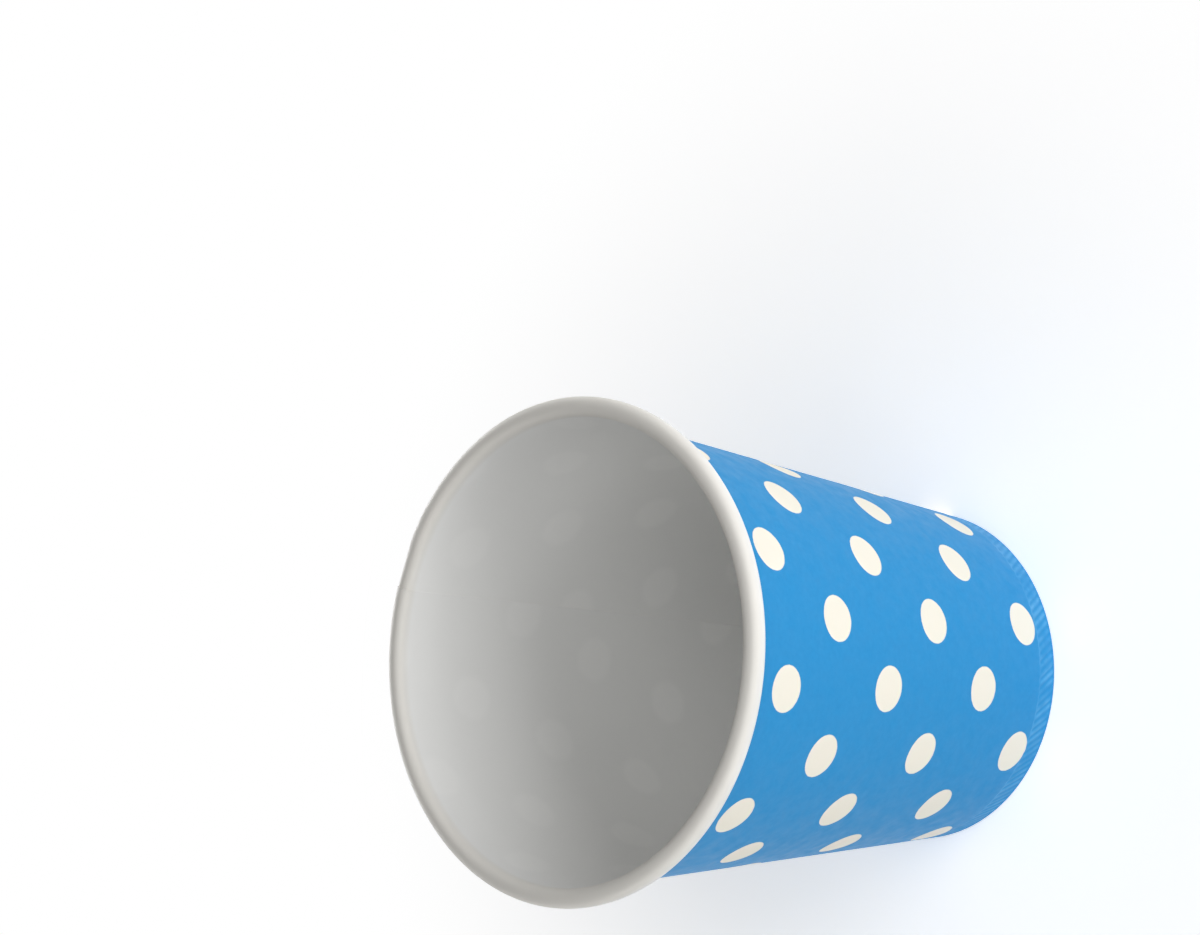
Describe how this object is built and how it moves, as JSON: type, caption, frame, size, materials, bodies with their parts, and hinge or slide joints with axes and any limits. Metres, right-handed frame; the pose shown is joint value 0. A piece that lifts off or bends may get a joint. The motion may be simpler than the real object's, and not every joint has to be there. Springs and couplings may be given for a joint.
{
  "type": "paper cup",
  "caption": "Tapered round paper cup with a rolled rim, a lapped side seam, a folded base hem and a recessed flat bottom, printed with pale dots on blue.",
  "frame": {"origin": "middle of the base, on the surface that the cup stands on", "axes": "Z is the cup's axis and points to the mouth; the lap seam is at the back, near +Y"},
  "size_m": [0.078, 0.0778, 0.0883],
  "materials": {
    "printed_board": "sky-blue ink with off-white dots on coated board, bare white inside",
    "white_board": "bare white coated board"
  },
  "bodies": {
    "root": {"side_wall": "printed_board", "bottom": "white_board"}
  },
  "joints": []
}
